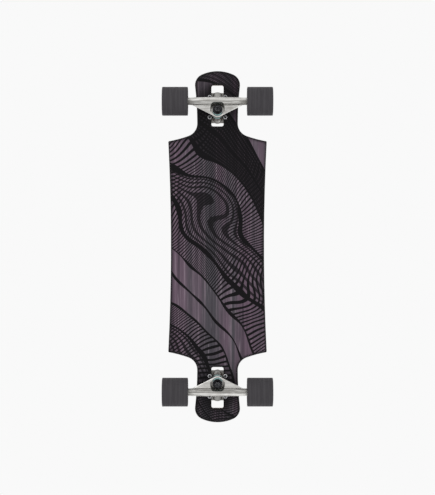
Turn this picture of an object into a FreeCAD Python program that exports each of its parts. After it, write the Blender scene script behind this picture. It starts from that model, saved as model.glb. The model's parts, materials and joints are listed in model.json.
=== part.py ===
import FreeCAD, Part
import math
import operator
import os

import Sketcher
from FreeCAD import Placement, Rotation, Vector

# A drop-through longboard standing on its wheels. X runs along the board with the front at +X,
# Y points to the left and Z points up. The floor is z = 0 and the board's middle is x = y = 0.

# Every driving size, in millimetres; the angles are in degrees and the counts are numbers.
SIZES = {
    # Deck: pressed blank, outline, slots and holes
    "deck_length": 927,
    "deck_width": 260.6,
    "waist_width": 246.2,
    "corner_from_tip": 184.5,
    "corner_round": 3,
    "wing_radius": 300,
    "neck_width": 107,
    "neck_from_tip": 138,
    "neck_radius": 35,
    "nose_width": 118.8,
    "shoulder_radius": 30,
    "tip_radius": 100,
    "deck_thickness": 11,
    "flat_width": 84,
    "concave_rise": 9,
    "edge_round": 2.5,
    "saw_margin": 6,
    "slot_length": 108.5,
    "slot_width": 32,
    "slot_round": 5,
    "slot_from_tip": 91.7,
    "bolt_hole": 5.5,
    # Grip tape
    "grip_thickness": 0.9,
    "grip_gap": 1.5,
    # Truck layout, measured from the middle of the axle
    "axle_from_tip": 83.6,
    "truck_height": 51,
    "pattern_back": 11.9,
    "bolt_spacing": 53.98,
    "bolt_gauge": 41.28,
    "bushing_back": 27,
    "bushing_up": 9.5,
    "pivot_reach": 44,
    "kingpin_lean_angle": 16,
    "steer_lean_angle": 32,
    # Baseplate
    "flange_front": 38.5,
    "flange_back": 41,
    "flange_width": 57,
    "flange_thickness": 7.5,
    "flange_corner": 8,
    "flange_edge": 2,
    "boss_diameter": 26,
    "web_width": 18,
    "rib_width": 8,
    "rib_depth": 7,
    "socket_wall": 2.5,
    # Kingpin and its stack
    "kingpin_diameter": 9.5,
    "kingpin_head": 14,
    "kingpin_head_height": 5,
    "kingpin_socket": 6,
    "kingpin_socket_depth": 3,
    "kingpin_end": 1.8,
    "kingpin_slack": 0.1,
    "kingpin_nut_across": 14.3,
    "kingpin_nut_height": 9,
    "washer_diameter": 26,
    "washer_thickness": 1.8,
    "bushing_diameter": 26,
    "bushing_bore": 10.3,
    "bushing_edge": 1.2,
    "boardside_height": 14,
    "roadside_height": 12,
    "roadside_tip": 21,
    # Pivot
    "nose_diameter": 14,
    "nose_slack": 0.25,
    "nose_stem": 12,
    "cup_wall": 2,
    "cup_depth": 6,
    "cup_lip": 1.5,
    "cup_lip_diameter": 22.6,
    # Hanger
    "hanger_width": 180,
    "bar_diameter": 23,
    "bar_end_diameter": 18.5,
    "bar_middle": 60,
    "bar_face_diameter": 14.5,
    "bar_face_length": 3,
    "yoke_width": 168,
    "yoke_up": 4,
    "yoke_thickness": 9,
    "yoke_edge": 2.2,
    "ring_diameter": 29.6,
    "ring_hole": 16.4,
    "ring_web": 6,
    "seat_depth": 2,
    "seat_slack": 0.3,
    "clearing_diameter": 36,
    "clearing_height": 30,
    "cavity_diameter": 26.8,
    "cavity_width": 37.4,
    "cavity_reach": 17.5,
    "cavity_round": 10.5,
    "cavity_shoulder": 1.5,
    "cavity_floor_width": 43,
    "cavity_floor_length": 22,
    "tower_length": 15,
    "tower_width": 92,
    "tower_top_length": 13,
    "tower_top_width": 14.6,
    # Axle and its small parts
    "axle_diameter": 8,
    "axle_end": 2,
    "axle_edge": 0.8,
    "axle_nut_across": 13,
    "axle_nut_height": 7,
    "running_slack": 0.03,
    "speed_washer_diameter": 11.4,
    "speed_washer_thickness": 1,
    "spacer_diameter": 10.2,
    "spacer_length": 10,
    # Mounting bolts and nuts
    "bolt_diameter": 4.8,
    "bolt_head_diameter": 9.2,
    "bolt_head_height": 3,
    "bolt_head_edge": 1,
    "bolt_socket": 3.2,
    "bolt_socket_depth": 1.8,
    "bolt_end": 2,
    "mount_nut_across": 9.5,
    "mount_nut_height": 6,
    "nut_collar_height": 1.6,
    "nut_collar_inset": 0.9,
    # Bearings
    "bearing_diameter": 22,
    "bearing_width": 7,
    "pitch_diameter": 15,
    "ball_diameter": 3.97,
    "ball_slack": 0.06,
    "ball_count": 7,
    "inner_land": 12,
    "outer_land": 18,
    "shield_seat": 19.2,
    "shield_bore": 12.6,
    "shield_thickness": 0.4,
    "shield_inset": 0.2,
    "cage_bore": 13.7,
    "cage_diameter": 16.3,
    "cage_start": 0.5,
    "cage_back": 2.4,
    # Wheels
    "wheel_diameter": 75,
    "wheel_width": 68,
    "wheel_offset": 8,
    "tread_width": 65.2,
    "lip_height": 1.2,
    "lip_width": 0.8,
    "bulge_diameter": 66,
    "sidewall_diameter": 57,
    "sidewall_inset": 1.8,
    "dish_diameter": 47,
    "dish_rise": 4.5,
    "sidewall_round": 3,
    "core_diameter": 40,
    "core_width": 27,
    "core_stop_diameter": 19.4,
    "core_edge": 1,
    "core_pocket_diameter": 27.2,
    "core_pocket_width": 4.6,
    "core_pocket_length": 8,
    "core_pocket_depth": 4,
    "core_rib_count": 8,
}
HALF_SHARE = 0.5

OPERATIONS = {"+": operator.add, "-": operator.sub, "*": operator.mul, "/": operator.truediv}


class Size:
    """A number together with the sheet expression that gives it."""

    def __init__(self, value, text):
        self.value = value
        self.text = text

    def __add__(self, other):
        return joined(self, "+", other)

    def __radd__(self, other):
        return joined(other, "+", self)

    def __sub__(self, other):
        return joined(self, "-", other)

    def __rsub__(self, other):
        return joined(other, "-", self)

    def __mul__(self, other):
        return joined(self, "*", other)

    def __rmul__(self, other):
        return joined(other, "*", self)

    def __truediv__(self, other):
        return joined(self, "/", other)

    def __neg__(self):
        return Size(-self.value, f"(-{self.text})")


class Guess(float):
    """A starting value for a corner that its neighbours settle."""


def guess(x, y):
    return (Guess(number(x)), Guess(number(y)))


def as_size(item):
    return item if isinstance(item, Size) else Size(float(item), repr(item))


def joined(left, sign, right):
    left = as_size(left)
    right = as_size(right)
    value = OPERATIONS[sign](left.value, right.value)
    return Size(value, f"({left.text} {sign} {right.text})")


def sine(angle):
    return Size(math.sin(math.radians(angle.value)), f"sin({angle.text})")


def cosine(angle):
    return Size(math.cos(math.radians(angle.value)), f"cos({angle.text})")


def number(item):
    return item.value if isinstance(item, Size) else float(item)


doc = FreeCAD.newDocument("longboard")
sheet = doc.addObject("Spreadsheet::Sheet", "Sizes")
for row, (alias, amount) in enumerate(SIZES.items(), 1):
    sheet.set(f"A{row}", alias)
    sheet.set(f"B{row}", str(amount))
    sheet.setAlias(f"B{row}", alias)
doc.recompute()


def size(alias):
    return Size(float(sheet.get(alias)), f"Sizes.{alias}")


def half(alias):
    return size(alias) * HALF_SHARE


# Sketches and features


def origin_part(body, role):
    return [item for item in body.Origin.OriginFeatures if item.Role == role][0]


def new_body(label):
    body = doc.addObject("PartDesign::Body", label)
    body.Label = label
    return body


def tie(thing, path, value):
    """Gives a property a size and ties it to the sheet."""
    if isinstance(value, Size):
        thing.setExpression(path, value.text)


def new_sketch(body, role, name, shift=(0, 0, 0), axis=None, turn=None):
    """A sketch on an origin plane, shifted and turned in that plane's own axes."""
    sketch = body.newObject("Sketcher::SketchObject", f"{body.Label}_{name}")
    sketch.AttachmentSupport = [(origin_part(body, role), "")]
    sketch.MapMode = "FlatFace"
    rotation = Rotation(axis, number(turn)) if axis else Rotation()
    sketch.AttachmentOffset = Placement(Vector(*[number(part) for part in shift]), rotation)
    for letter, part in zip("xyz", shift):
        tie(sketch, f"AttachmentOffset.Base.{letter}", part)
    tie(sketch, "AttachmentOffset.Rotation.Angle", turn)
    return sketch


def measure(sketch, kind, geometry, spot, value):
    """Ties one coordinate of a point to a size, or puts the point on an axis."""
    if isinstance(value, Guess):
        return
    if isinstance(value, Size):
        tied = Sketcher.Constraint(kind, -1, 1, geometry, spot, value.value)
        index = sketch.addConstraint(tied)
        tie(sketch, f"Constraints[{index}]", value)
    else:
        axis = -2 if kind == "DistanceX" else -1
        sketch.addConstraint(Sketcher.Constraint("PointOnObject", geometry, spot, axis))


def pin(sketch, geometry, spot, corner):
    measure(sketch, "DistanceX", geometry, spot, corner[0])
    measure(sketch, "DistanceY", geometry, spot, corner[1])


def set_radius(sketch, geometry, radius):
    if isinstance(radius, Size):
        index = sketch.addConstraint(Sketcher.Constraint("Radius", geometry, radius.value))
        tie(sketch, f"Constraints[{index}]", radius)


def flat_point(corner):
    return Vector(number(corner[0]), number(corner[1]), 0)


def arc_between(start, end, centre, radius, leftwards):
    circle = Part.Circle(centre, Vector(0, 0, 1), radius)
    low, high = (start, end) if leftwards else (end, start)
    first = circle.parameter(low)
    last = circle.parameter(high)
    if last <= first:
        last += math.tau
    return Part.ArcOfCircle(circle, first, last)


def loop(sketch, corners, arcs=None, smooth=()):
    """A closed outline. arcs gives, for the edge that leaves a corner, its centre, its radius and
    whether it turns leftwards; smooth lists the corners where two edges run into each other."""
    arcs = arcs or {}
    count = len(corners)
    first = sketch.GeometryCount
    ends = []
    for index, corner in enumerate(corners):
        start = flat_point(corner)
        end = flat_point(corners[(index + 1) % count])
        if index in arcs:
            centre, radius, leftwards = arcs[index]
            edge = arc_between(start, end, flat_point(centre), number(radius), leftwards)
            ends.append((1, 2) if leftwards else (2, 1))
        else:
            edge = Part.LineSegment(start, end)
            ends.append((1, 2))
        sketch.addGeometry(edge, False)
    for index, corner in enumerate(corners):
        before = (index - 1) % count
        kind = "Tangent" if index in smooth else "Coincident"
        meeting = (first + before, ends[before][1], first + index, ends[index][0])
        sketch.addConstraint(Sketcher.Constraint(kind, *meeting))
        pin(sketch, first + index, ends[index][0], corner)
    for index, (centre, radius, leftwards) in arcs.items():
        pin(sketch, first + index, 3, centre)
        set_radius(sketch, first + index, radius)
    return first


def circle(sketch, centre, radius):
    index = sketch.addGeometry(Part.Circle(flat_point(centre), Vector(0, 0, 1), number(radius)), False)
    pin(sketch, index, 3, centre)
    set_radius(sketch, index, radius)
    return index


def box_loop(sketch, low, high):
    """A rectangle between two opposite corners."""
    loop(sketch, [low, (high[0], low[1]), high, (low[0], high[1])])


def hexagon(sketch, across, centre=(0, 0)):
    """A hexagon with two of its flats facing along the sketch's X."""
    reach = across * HALF_SHARE
    corner = across * Size(math.sqrt(1 / 3), "sqrt(1 / 3)")
    middle = [as_size(part) for part in centre]
    shares = [(1, -1), (1, 1), (0, 2), (-1, 1), (-1, -1), (0, -2)]
    corners = []
    for across_share, along_share in shares:
        spot_x = middle[0] + reach * across_share
        spot_y = middle[1] + corner * (along_share * HALF_SHARE)
        corners.append((spot_x, spot_y))
    loop(sketch, corners)


def feature(body, kind, name, **settings):
    made = body.newObject(f"PartDesign::{kind}", f"{body.Label}_{name}")
    for key, value in settings.items():
        setattr(made, key, value)
    body.Tip = made
    return made


def pad(body, sketch, name, length, symmetric=False, backwards=False):
    made = feature(body, "Pad", name, Profile=sketch, Reversed=backwards)
    if symmetric:
        made.SideType = "Symmetric"
    tie(made, "Length", length)
    return made


def pocket(body, sketch, name, length=None, both_ways=False, forwards=False):
    """A cut along the sketch's normal; without a length it goes right through."""
    made = feature(body, "Pocket", name, Profile=sketch, Reversed=forwards)
    if both_ways:
        made.SideType = "Symmetric"
    if length is None:
        made.Type = "ThroughAll"
    else:
        tie(made, "Length", length)
    return made


def revolve(body, sketch, name, axis="V_Axis"):
    return feature(body, "Revolution", name, Profile=sketch, ReferenceAxis=(sketch, [axis]), Angle=360)


def mirror(body, name, originals, role):
    return feature(body, "Mirrored", name, Originals=originals, MirrorPlane=(origin_part(body, role), [""]))


def mirror_body(body, name, role):
    doc.recompute()
    made = feature(body, "Mirrored", name, MirrorPlane=(origin_part(body, role), [""]))
    made.TransformMode = "Whole shape"
    return made


def fillet(body, base, name, edges, radius):
    made = feature(body, "Fillet", name, Base=(base, edges))
    tie(made, "Radius", radius)
    return made


def edge_names(shape, wanted):
    """The names of the edges that pass a test."""
    return [f"Edge{index}" for index, edge in enumerate(shape.Edges, 1) if wanted(edge)]


def place(body, x, y, z, turned=False):
    """Puts a body in the board's frame, turned half round about Z where it faces the other way."""
    body.Placement = Placement(Vector(number(x), number(y), number(z)), Rotation(180 if turned else 0, 0, 0))
    for letter, part in zip("xyz", (x, y, z)):
        tie(body, f"Placement.Base.{letter}", part)


# Heights shared by the pieces
AXLE_HEIGHT = half("wheel_diameter")
DECK_TOP = AXLE_HEIGHT + size("truck_height")
DECK_BOTTOM = DECK_TOP - size("deck_thickness")
EDGE_TOLERANCE = 1e-4

# Places along the board, measured in from its tips
CORNER_REACH = half("deck_length") - size("corner_from_tip")
NECK_REACH = half("deck_length") - size("neck_from_tip")
SLOT_REACH = half("deck_length") - size("slot_from_tip")
AXLE_REACH = half("deck_length") - size("axle_from_tip")


# Deck and grip tape, built as one quarter and mirrored


def section(body, name, low, high):
    """The pressed section of half a board, between two heights over the deck's flat underside."""
    sketch = new_sketch(body, "YZ_Plane", name)
    side = (size("deck_width") - size("flat_width")) * HALF_SHARE
    rise = size("concave_rise")
    press_radius = (side * side + rise * rise) / (rise * 2)
    centre = (half("flat_width"), press_radius)
    rail = half("deck_width") + size("saw_margin")
    outer_low = Guess(number(low) + number(rise))
    outer_high = Guess(number(high) + number(rise))
    corners = [
        (0, Guess(number(low))),
        (half("flat_width"), Guess(number(low))),
        (rail, outer_low),
        (rail, outer_high),
        (half("flat_width"), Guess(number(high))),
        (0, Guess(number(high))),
    ]
    arcs = {1: (centre, press_radius - low, True), 3: (centre, press_radius - high, False)}
    first = loop(sketch, corners, arcs)
    sketch.addConstraint(Sketcher.Constraint("Horizontal", first))
    sketch.addConstraint(Sketcher.Constraint("Horizontal", first + 4))
    return sketch


def outline_waste(body, name, inset):
    """What is sawn off a quarter of the blank, leaving the outline moved in by an inset."""
    sketch = new_sketch(body, "XY_Plane", name)
    waist = half("waist_width")
    flare_out = half("deck_width") - waist
    reach = CORNER_REACH
    waist_radius = (reach * reach + flare_out * flare_out) / (flare_out * 2)
    waist_centre = (0, waist + waist_radius)
    neck_centre = (NECK_REACH, half("neck_width") + size("neck_radius"))
    shoulder_height = half("nose_width") - size("shoulder_radius")
    tip_centre = (half("deck_length") - size("tip_radius"), 0)

    # Starting places for the arcs that the smooth joins settle
    corner = Vector(reach.value, number(half("deck_width")), 0)
    neck_point = flat_point(neck_centre)
    wing_reach = number(size("wing_radius"))
    apart = neck_point - corner
    gap = apart.Length
    short_reach = wing_reach - number(size("neck_radius"))
    along = (wing_reach ** 2 - short_reach ** 2 + gap ** 2) / (2 * gap)
    aside = math.sqrt(wing_reach ** 2 - along ** 2)
    ahead = apart / gap
    wing_point = corner + ahead * along + Vector(-ahead.y, ahead.x, 0) * aside
    join = neck_point - wing_point
    join.normalize()
    neck_join = neck_point + join * number(size("neck_radius") + inset)
    tip_gap = number(size("tip_radius") - size("shoulder_radius"))
    lift = number(shoulder_height) / tip_gap
    shoulder_x = number(tip_centre[0]) + tip_gap * math.sqrt(1 - lift ** 2)
    ahead_x = shoulder_x - neck_point.x
    over = number(half("neck_width") - shoulder_height)
    bend = number(size("shoulder_radius"))
    flare = (ahead_x ** 2 + over ** 2 - bend ** 2) / (2 * (bend - over))
    flare_point = Vector(neck_point.x, number(half("neck_width")) + flare, 0)
    shoulder_point = Vector(shoulder_x, number(shoulder_height), 0)
    toward = shoulder_point - flare_point
    toward.normalize()
    flare_join = flare_point + toward * (flare + number(inset))
    outward = shoulder_point - flat_point(tip_centre)
    outward.normalize()
    tip_join = flat_point(tip_centre) + outward * number(size("tip_radius") - inset)

    far_x = half("deck_length") + size("saw_margin")
    far_y = half("deck_width") + size("saw_margin")
    corners = [
        (0, Guess(number(waist - inset))),
        guess(corner.x - number(inset), corner.y - number(inset)),
        guess(neck_join.x, neck_join.y),
        guess(neck_point.x, half("neck_width") - inset),
        guess(flare_join.x, flare_join.y),
        guess(tip_join.x, tip_join.y),
        (Guess(number(half("deck_length") - inset)), 0),
        (far_x, 0),
        (far_x, far_y),
        (0, far_y),
    ]
    arcs = {
        0: (waist_centre, waist_radius + inset, True),
        1: (guess(wing_point.x, wing_point.y), size("wing_radius") + inset, True),
        2: (neck_centre, size("neck_radius") + inset, True),
        3: ((NECK_REACH, Guess(flare_point.y)), Guess(flare + number(inset)), True),
        4: ((Guess(shoulder_x), shoulder_height), size("shoulder_radius") - inset, False),
        5: (tip_centre, size("tip_radius") - inset, False),
    }
    first = loop(sketch, corners, arcs, smooth=(2, 3, 4, 5))
    guide = sketch.addGeometry(Part.Circle(wing_point, Vector(0, 0, 1), wing_reach), True)
    sketch.addConstraint(Sketcher.Constraint("Coincident", guide, 3, first + 1, 3))
    set_radius(sketch, guide, size("wing_radius"))
    spot = sketch.addGeometry(Part.Point(corner), True)
    pin(sketch, spot, 1, (reach, half("deck_width")))
    sketch.addConstraint(Sketcher.Constraint("PointOnObject", spot, 1, guide))
    return sketch


def rounded_half(body, name, low_x, high_x, half_width, radius):
    """A cut-out that reaches from the middle line to a half width, with two rounded corners."""
    sketch = new_sketch(body, "XY_Plane", name)
    corners = [
        (low_x, 0),
        (high_x, 0),
        (high_x, half_width - radius),
        (high_x - radius, half_width),
        (low_x + radius, half_width),
        (low_x, half_width - radius),
    ]
    high_centre = guess(high_x - radius, half_width - radius)
    low_centre = guess(low_x + radius, half_width - radius)
    loop(sketch, corners, {2: (high_centre, radius, True), 4: (low_centre, radius, True)})
    return sketch


SLOT_LOW = SLOT_REACH - half("slot_length")
SLOT_HIGH = SLOT_REACH + half("slot_length")
PATTERN_REACH = AXLE_REACH - size("pattern_back")
BLANK_LENGTH = half("deck_length") + size("saw_margin")


def slot_cut(body):
    sketch = rounded_half(body, "slot", SLOT_LOW, SLOT_HIGH, half("slot_width"), size("slot_round"))
    pocket(body, sketch, "slot_cut", both_ways=True)


def crosses_face(shape, edge):
    """True where an edge lies within a broad face or between two upright ones."""
    broad = 0
    for face in shape.ancestorsOfType(edge, Part.Face):
        low, high, left, right = face.ParameterRange
        normal = face.normalAt((low + high) * HALF_SHARE, (left + right) * HALF_SHARE)
        broad += abs(normal.z) > HALF_SHARE
    return broad != 1


def in_truck_zone(spot):
    """True for a place at a slot or at the bolt holes beside it."""
    margin = number(size("bolt_hole"))
    in_length = number(SLOT_LOW) - margin < abs(spot.x) < number(SLOT_HIGH) + margin
    return in_length and abs(spot.y) < number(half("bolt_gauge")) + margin


def make_deck():
    body = new_body("deck")
    bottom = size("deck_thickness") * 0
    pad(body, section(body, "section", bottom, size("deck_thickness")), "blank", BLANK_LENGTH)
    pocket(body, outline_waste(body, "outline", bottom), "outline_cut", both_ways=True)
    slot_cut(body)
    holes = new_sketch(body, "XY_Plane", "holes")
    for side in (-1, 1):
        circle(holes, (PATTERN_REACH + half("bolt_spacing") * side, half("bolt_gauge")), half("bolt_hole"))
    pocket(body, holes, "bolt_holes", both_ways=True)
    mirror_body(body, "mirror_sides", "XZ_Plane")
    whole = mirror_body(body, "mirror_ends", "YZ_Plane")
    doc.recompute()
    corner_x = number(CORNER_REACH)
    corner_y = number(half("deck_width"))
    nearness = number(size("corner_round"))

    def is_corner(edge):
        spot = edge.CenterOfMass
        near = max(abs(abs(spot.x) - corner_x), abs(abs(spot.y) - corner_y)) < nearness
        return near and edge.BoundBox.ZLength > number(half("deck_thickness"))

    rounded = fillet(body, whole, "corner_rounds", edge_names(whole.Shape, is_corner), size("corner_round"))
    doc.recompute()

    def is_rim(edge):
        return not in_truck_zone(edge.CenterOfMass) and not crosses_face(rounded.Shape, edge)

    fillet(body, rounded, "edge_rounds", edge_names(rounded.Shape, is_rim), size("edge_round"))
    place(body, 0, 0, DECK_BOTTOM)
    return body


def make_grip():
    body = new_body("grip_tape")
    low = size("deck_thickness")
    pad(body, section(body, "section", low, low + size("grip_thickness")), "blank", BLANK_LENGTH)
    pocket(body, outline_waste(body, "outline", size("edge_round")), "outline_cut", both_ways=True)
    slot_cut(body)
    gap = size("grip_gap")
    low_x = PATTERN_REACH - size("flange_back") - gap
    high_x = PATTERN_REACH + size("flange_front") + gap
    corner = size("flange_corner") + gap
    window = rounded_half(body, "window", low_x, high_x, half("flange_width") + gap, corner)
    pocket(body, window, "window_cut", both_ways=True)
    mirror_body(body, "mirror_sides", "XZ_Plane")
    mirror_body(body, "mirror_ends", "YZ_Plane")
    place(body, 0, 0, DECK_BOTTOM)
    return body


# Trucks, each drawn round the middle of its axle with X pointing away from the board's middle

LEAN = size("kingpin_lean_angle")
STEER = size("steer_lean_angle")
SQUARE_TURN = Size(90.0, "90")
BUSHING_X = -size("bushing_back")
BUSHING_Z = size("bushing_up")
WEB_HALF = half("ring_web")
BOSS_START = WEB_HALF + size("boardside_height") + size("washer_thickness")
HEAD_SEAT = (size("truck_height") - BUSHING_Z) / cosine(LEAN)
NUT_START = WEB_HALF + size("roadside_height") + size("washer_thickness")
PIVOT_X = BUSHING_X + size("pivot_reach") * cosine(STEER)
PIVOT_Z = BUSHING_Z + size("pivot_reach") * sine(STEER)
CUP_BORE = half("nose_diameter") + size("nose_slack")
CUP_RADIUS = CUP_BORE + size("cup_wall")
HOUSING_RADIUS = CUP_RADIUS + size("socket_wall")
FLANGE_LOW = -size("pattern_back") - size("flange_back")
FLANGE_HIGH = -size("pattern_back") + size("flange_front")
FLANGE_TOP = size("truck_height") + size("flange_thickness")
UNDERSIDE = size("truck_height") - size("deck_thickness")

# Stations along the axle, from the hanger's end outwards
WASHER_AT = half("hanger_width")
BEARING_AT = WASHER_AT + size("speed_washer_thickness")
SPACER_AT = BEARING_AT + size("bearing_width")
OUTER_BEARING_AT = SPACER_AT + size("spacer_length")
OUTER_WASHER_AT = OUTER_BEARING_AT + size("bearing_width")
NUT_AT = OUTER_WASHER_AT + size("speed_washer_thickness")
AXLE_END_AT = NUT_AT + size("axle_nut_height") + size("axle_end")
BEARING_MIDDLE = SPACER_AT + half("spacer_length")
BEARING_STEP = (size("bearing_width") + size("spacer_length")) * HALF_SHARE
WHEEL_CENTRE = BEARING_MIDDLE + size("wheel_offset")
AXLE_BORE = half("axle_diameter") + size("running_slack")


def kingpin_profile(body, name):
    """A sketch whose upright axis is the kingpin, with the bushing ring's middle at its origin."""
    return new_sketch(body, "XZ_Plane", name, (BUSHING_X, BUSHING_Z, 0), Vector(0, 0, 1), LEAN)


def kingpin_plane(body, name, height):
    """A sketch square to the kingpin, at a height along it."""
    shift = (BUSHING_X - height * sine(LEAN), 0, BUSHING_Z + height * cosine(LEAN))
    return new_sketch(body, "XY_Plane", name, shift, Vector(0, -1, 0), LEAN)


def pivot_profile(body, name):
    """A sketch whose level axis is the steering axis, with the pivot's middle at its origin."""
    return new_sketch(body, "XZ_Plane", name, (PIVOT_X, PIVOT_Z, 0), Vector(0, 0, 1), STEER)


def pivot_plane(body, name, height):
    """A sketch square to the steering axis, at a height along it."""
    shift = (PIVOT_X + height * cosine(STEER), 0, PIVOT_Z + height * sine(STEER))
    return new_sketch(body, "XY_Plane", name, shift, Vector(0, 1, 0), SQUARE_TURN - STEER)


def level_plane(body, name, height):
    return new_sketch(body, "XY_Plane", name, (0, 0, height))


def bolt_spots():
    spots = []
    for along in (-1, 1):
        for across in (-1, 1):
            spot_x = half("bolt_spacing") * along - size("pattern_back")
            spots.append((spot_x, half("bolt_gauge") * across))
    return spots


def make_baseplate(label):
    body = new_body(label)
    outline = level_plane(body, "flange", size("truck_height"))
    box_loop(outline, (FLANGE_LOW, -half("flange_width")), (FLANGE_HIGH, half("flange_width")))
    flange = pad(body, outline, "flange_pad", size("flange_thickness"))
    doc.recompute()
    upright = edge_names(flange.Shape, lambda edge: edge.BoundBox.ZLength > number(half("flange_thickness")))
    corners = fillet(body, flange, "flange_corners", upright, size("flange_corner"))
    doc.recompute()
    top = edge_names(corners.Shape, lambda edge: edge.BoundBox.ZMin > number(FLANGE_TOP) - EDGE_TOLERANCE)
    fillet(body, corners, "flange_edges", top, size("flange_edge"))

    boss = kingpin_plane(body, "boss", BOSS_START)
    circle(boss, (0, 0), half("boss_diameter"))
    boss_end = (FLANGE_TOP - BUSHING_Z) / cosine(LEAN) + half("boss_diameter")
    pad(body, boss, "boss_pad", boss_end - BOSS_START)

    housing = pivot_plane(body, "housing", -size("cup_depth"))
    circle(housing, (0, 0), HOUSING_RADIUS)
    housing_end = CUP_RADIUS + size("socket_wall")
    pad(body, housing, "housing_pad", size("cup_depth") + housing_end)

    web = new_sketch(body, "XZ_Plane", "web")
    inside = size("truck_height") + size("flange_edge")
    loop(web, [
        (PIVOT_X - size("cup_depth") * cosine(STEER), PIVOT_Z - size("cup_depth") * sine(STEER)),
        (PIVOT_X + housing_end * cosine(STEER), PIVOT_Z + housing_end * sine(STEER)),
        (FLANGE_HIGH - size("flange_edge"), inside),
        (PIVOT_X - HOUSING_RADIUS, inside),
    ])
    pad(body, web, "web_pad", size("web_width"), symmetric=True)

    rib = new_sketch(body, "XZ_Plane", "rib")
    rib_start = BUSHING_X - HEAD_SEAT * sine(LEAN)
    box_loop(rib, (rib_start, size("truck_height") - size("rib_depth")), (PIVOT_X, inside))
    pad(body, rib, "rib_pad", size("rib_width"), symmetric=True)

    above = level_plane(body, "above", FLANGE_TOP)
    reach = size("flange_back") + size("flange_front")
    box_loop(above, (-reach, -reach), (reach, reach))
    pocket(body, above, "top_trim", forwards=True)

    bore = kingpin_plane(body, "bore", BOSS_START)
    circle(bore, (0, 0), half("kingpin_diameter") + size("kingpin_slack"))
    pocket(body, bore, "bore_cut", forwards=True)
    recess = kingpin_plane(body, "recess", HEAD_SEAT)
    circle(recess, (0, 0), half("kingpin_head") + size("kingpin_slack") * 2)
    pocket(body, recess, "recess_cut", forwards=True)
    socket = pivot_plane(body, "socket", -size("cup_depth"))
    circle(socket, (0, 0), CUP_RADIUS)
    pocket(body, socket, "socket_cut", size("cup_depth") + CUP_RADIUS, forwards=True)
    holes = level_plane(body, "holes", size("truck_height"))
    for spot in bolt_spots():
        circle(holes, spot, half("bolt_hole"))
    pocket(body, holes, "bolt_holes", forwards=True)
    return body


def make_pivot_cup(label):
    body = new_body(label)
    sketch = pivot_profile(body, "profile")
    mouth = -size("cup_depth")
    corners = [
        (mouth - size("cup_lip"), CUP_BORE),
        (mouth - size("cup_lip"), half("cup_lip_diameter")),
        (mouth, half("cup_lip_diameter")),
        (mouth, CUP_RADIUS),
        (CUP_RADIUS, CUP_RADIUS),
        (CUP_RADIUS, 0),
        (Guess(number(CUP_BORE)), 0),
        (0, Guess(number(CUP_BORE))),
    ]
    loop(sketch, corners, {6: ((0, 0), CUP_BORE, True)})
    revolve(body, sketch, "turned", "H_Axis")
    return body


def make_kingpin(label):
    body = new_body(label)
    sketch = kingpin_profile(body, "profile")
    shank = half("kingpin_diameter")
    tail_end = -(NUT_START + size("kingpin_nut_height") + size("kingpin_end"))
    head_top = HEAD_SEAT + size("kingpin_head_height")
    loop(sketch, [
        (0, tail_end),
        (shank - size("axle_edge"), tail_end),
        (shank, tail_end + size("axle_edge")),
        (shank, HEAD_SEAT),
        (half("kingpin_head"), HEAD_SEAT),
        (half("kingpin_head"), head_top - size("axle_edge")),
        (half("kingpin_head") - size("axle_edge"), head_top),
        (0, head_top),
    ])
    revolve(body, sketch, "turned")
    socket = kingpin_plane(body, "socket", head_top)
    hexagon(socket, size("kingpin_socket"))
    pocket(body, socket, "socket_cut", size("kingpin_socket_depth"))
    return body


def hex_nuts(plane, across, bore, height, spots):
    """Lock nuts standing on a face: a hexagon and a narrower collar, with a bore through both.
    plane gives a sketch at a height along the nuts' own axis."""
    hex_height = height - size("nut_collar_height")
    sides = plane("sides", height * 0)
    collar = plane("collar", hex_height)
    for spot in spots:
        hexagon(sides, across, spot)
        circle(sides, spot, bore)
        circle(collar, spot, across * HALF_SHARE - size("nut_collar_inset"))
        circle(collar, spot, bore)
    return sides, collar, hex_height


def make_kingpin_nut(label):
    body = new_body(label)

    def plane(name, height):
        return kingpin_plane(body, name, -(NUT_START + height))

    bore = half("kingpin_diameter") + size("kingpin_slack")
    parts = (size("kingpin_nut_across"), bore, size("kingpin_nut_height"), [(0, 0)])
    sides, collar, hex_height = hex_nuts(plane, *parts)
    pad(body, sides, "sides_pad", hex_height, backwards=True)
    pad(body, collar, "collar_pad", size("nut_collar_height"), backwards=True)
    return body


def make_washers(label):
    body = new_body(label)
    sketch = kingpin_profile(body, "profile")
    bore = half("kingpin_diameter") + size("kingpin_slack")
    rim = half("washer_diameter")
    box_loop(sketch, (bore, BOSS_START - size("washer_thickness")), (rim, BOSS_START))
    box_loop(sketch, (bore, -NUT_START), (rim, size("washer_thickness") - NUT_START))
    revolve(body, sketch, "turned")
    return body


def make_boardside_bushing(label):
    body = new_body(label)
    sketch = kingpin_profile(body, "profile")
    edge = size("bushing_edge")
    rim = half("bushing_diameter")
    high = WEB_HALF + size("boardside_height")
    loop(sketch, [
        (half("bushing_bore"), WEB_HALF),
        (rim - edge, WEB_HALF),
        (rim, WEB_HALF + edge),
        (rim, high - edge),
        (rim - edge, high),
        (half("bushing_bore"), high),
    ])
    revolve(body, sketch, "turned")
    return body


def make_roadside_bushing(label):
    body = new_body(label)
    sketch = kingpin_profile(body, "profile")
    edge = size("bushing_edge")
    rim = half("bushing_diameter")
    low = -(WEB_HALF + size("roadside_height"))
    loop(sketch, [
        (half("bushing_bore"), -WEB_HALF),
        (rim - edge, -WEB_HALF),
        (rim, -WEB_HALF - edge),
        (half("roadside_tip"), low + edge),
        (half("roadside_tip") - edge, low),
        (half("bushing_bore"), low),
    ])
    revolve(body, sketch, "turned")
    return body


def touch_point(radius, far_x, far_y):
    """Where a line from a far point touches a circle about the origin, on the side to its left."""
    toward = math.atan2(far_y, far_x)
    turn = math.acos(radius / math.hypot(far_x, far_y))
    return Vector(math.cos(toward + turn), math.sin(toward + turn), 0) * radius


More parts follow.
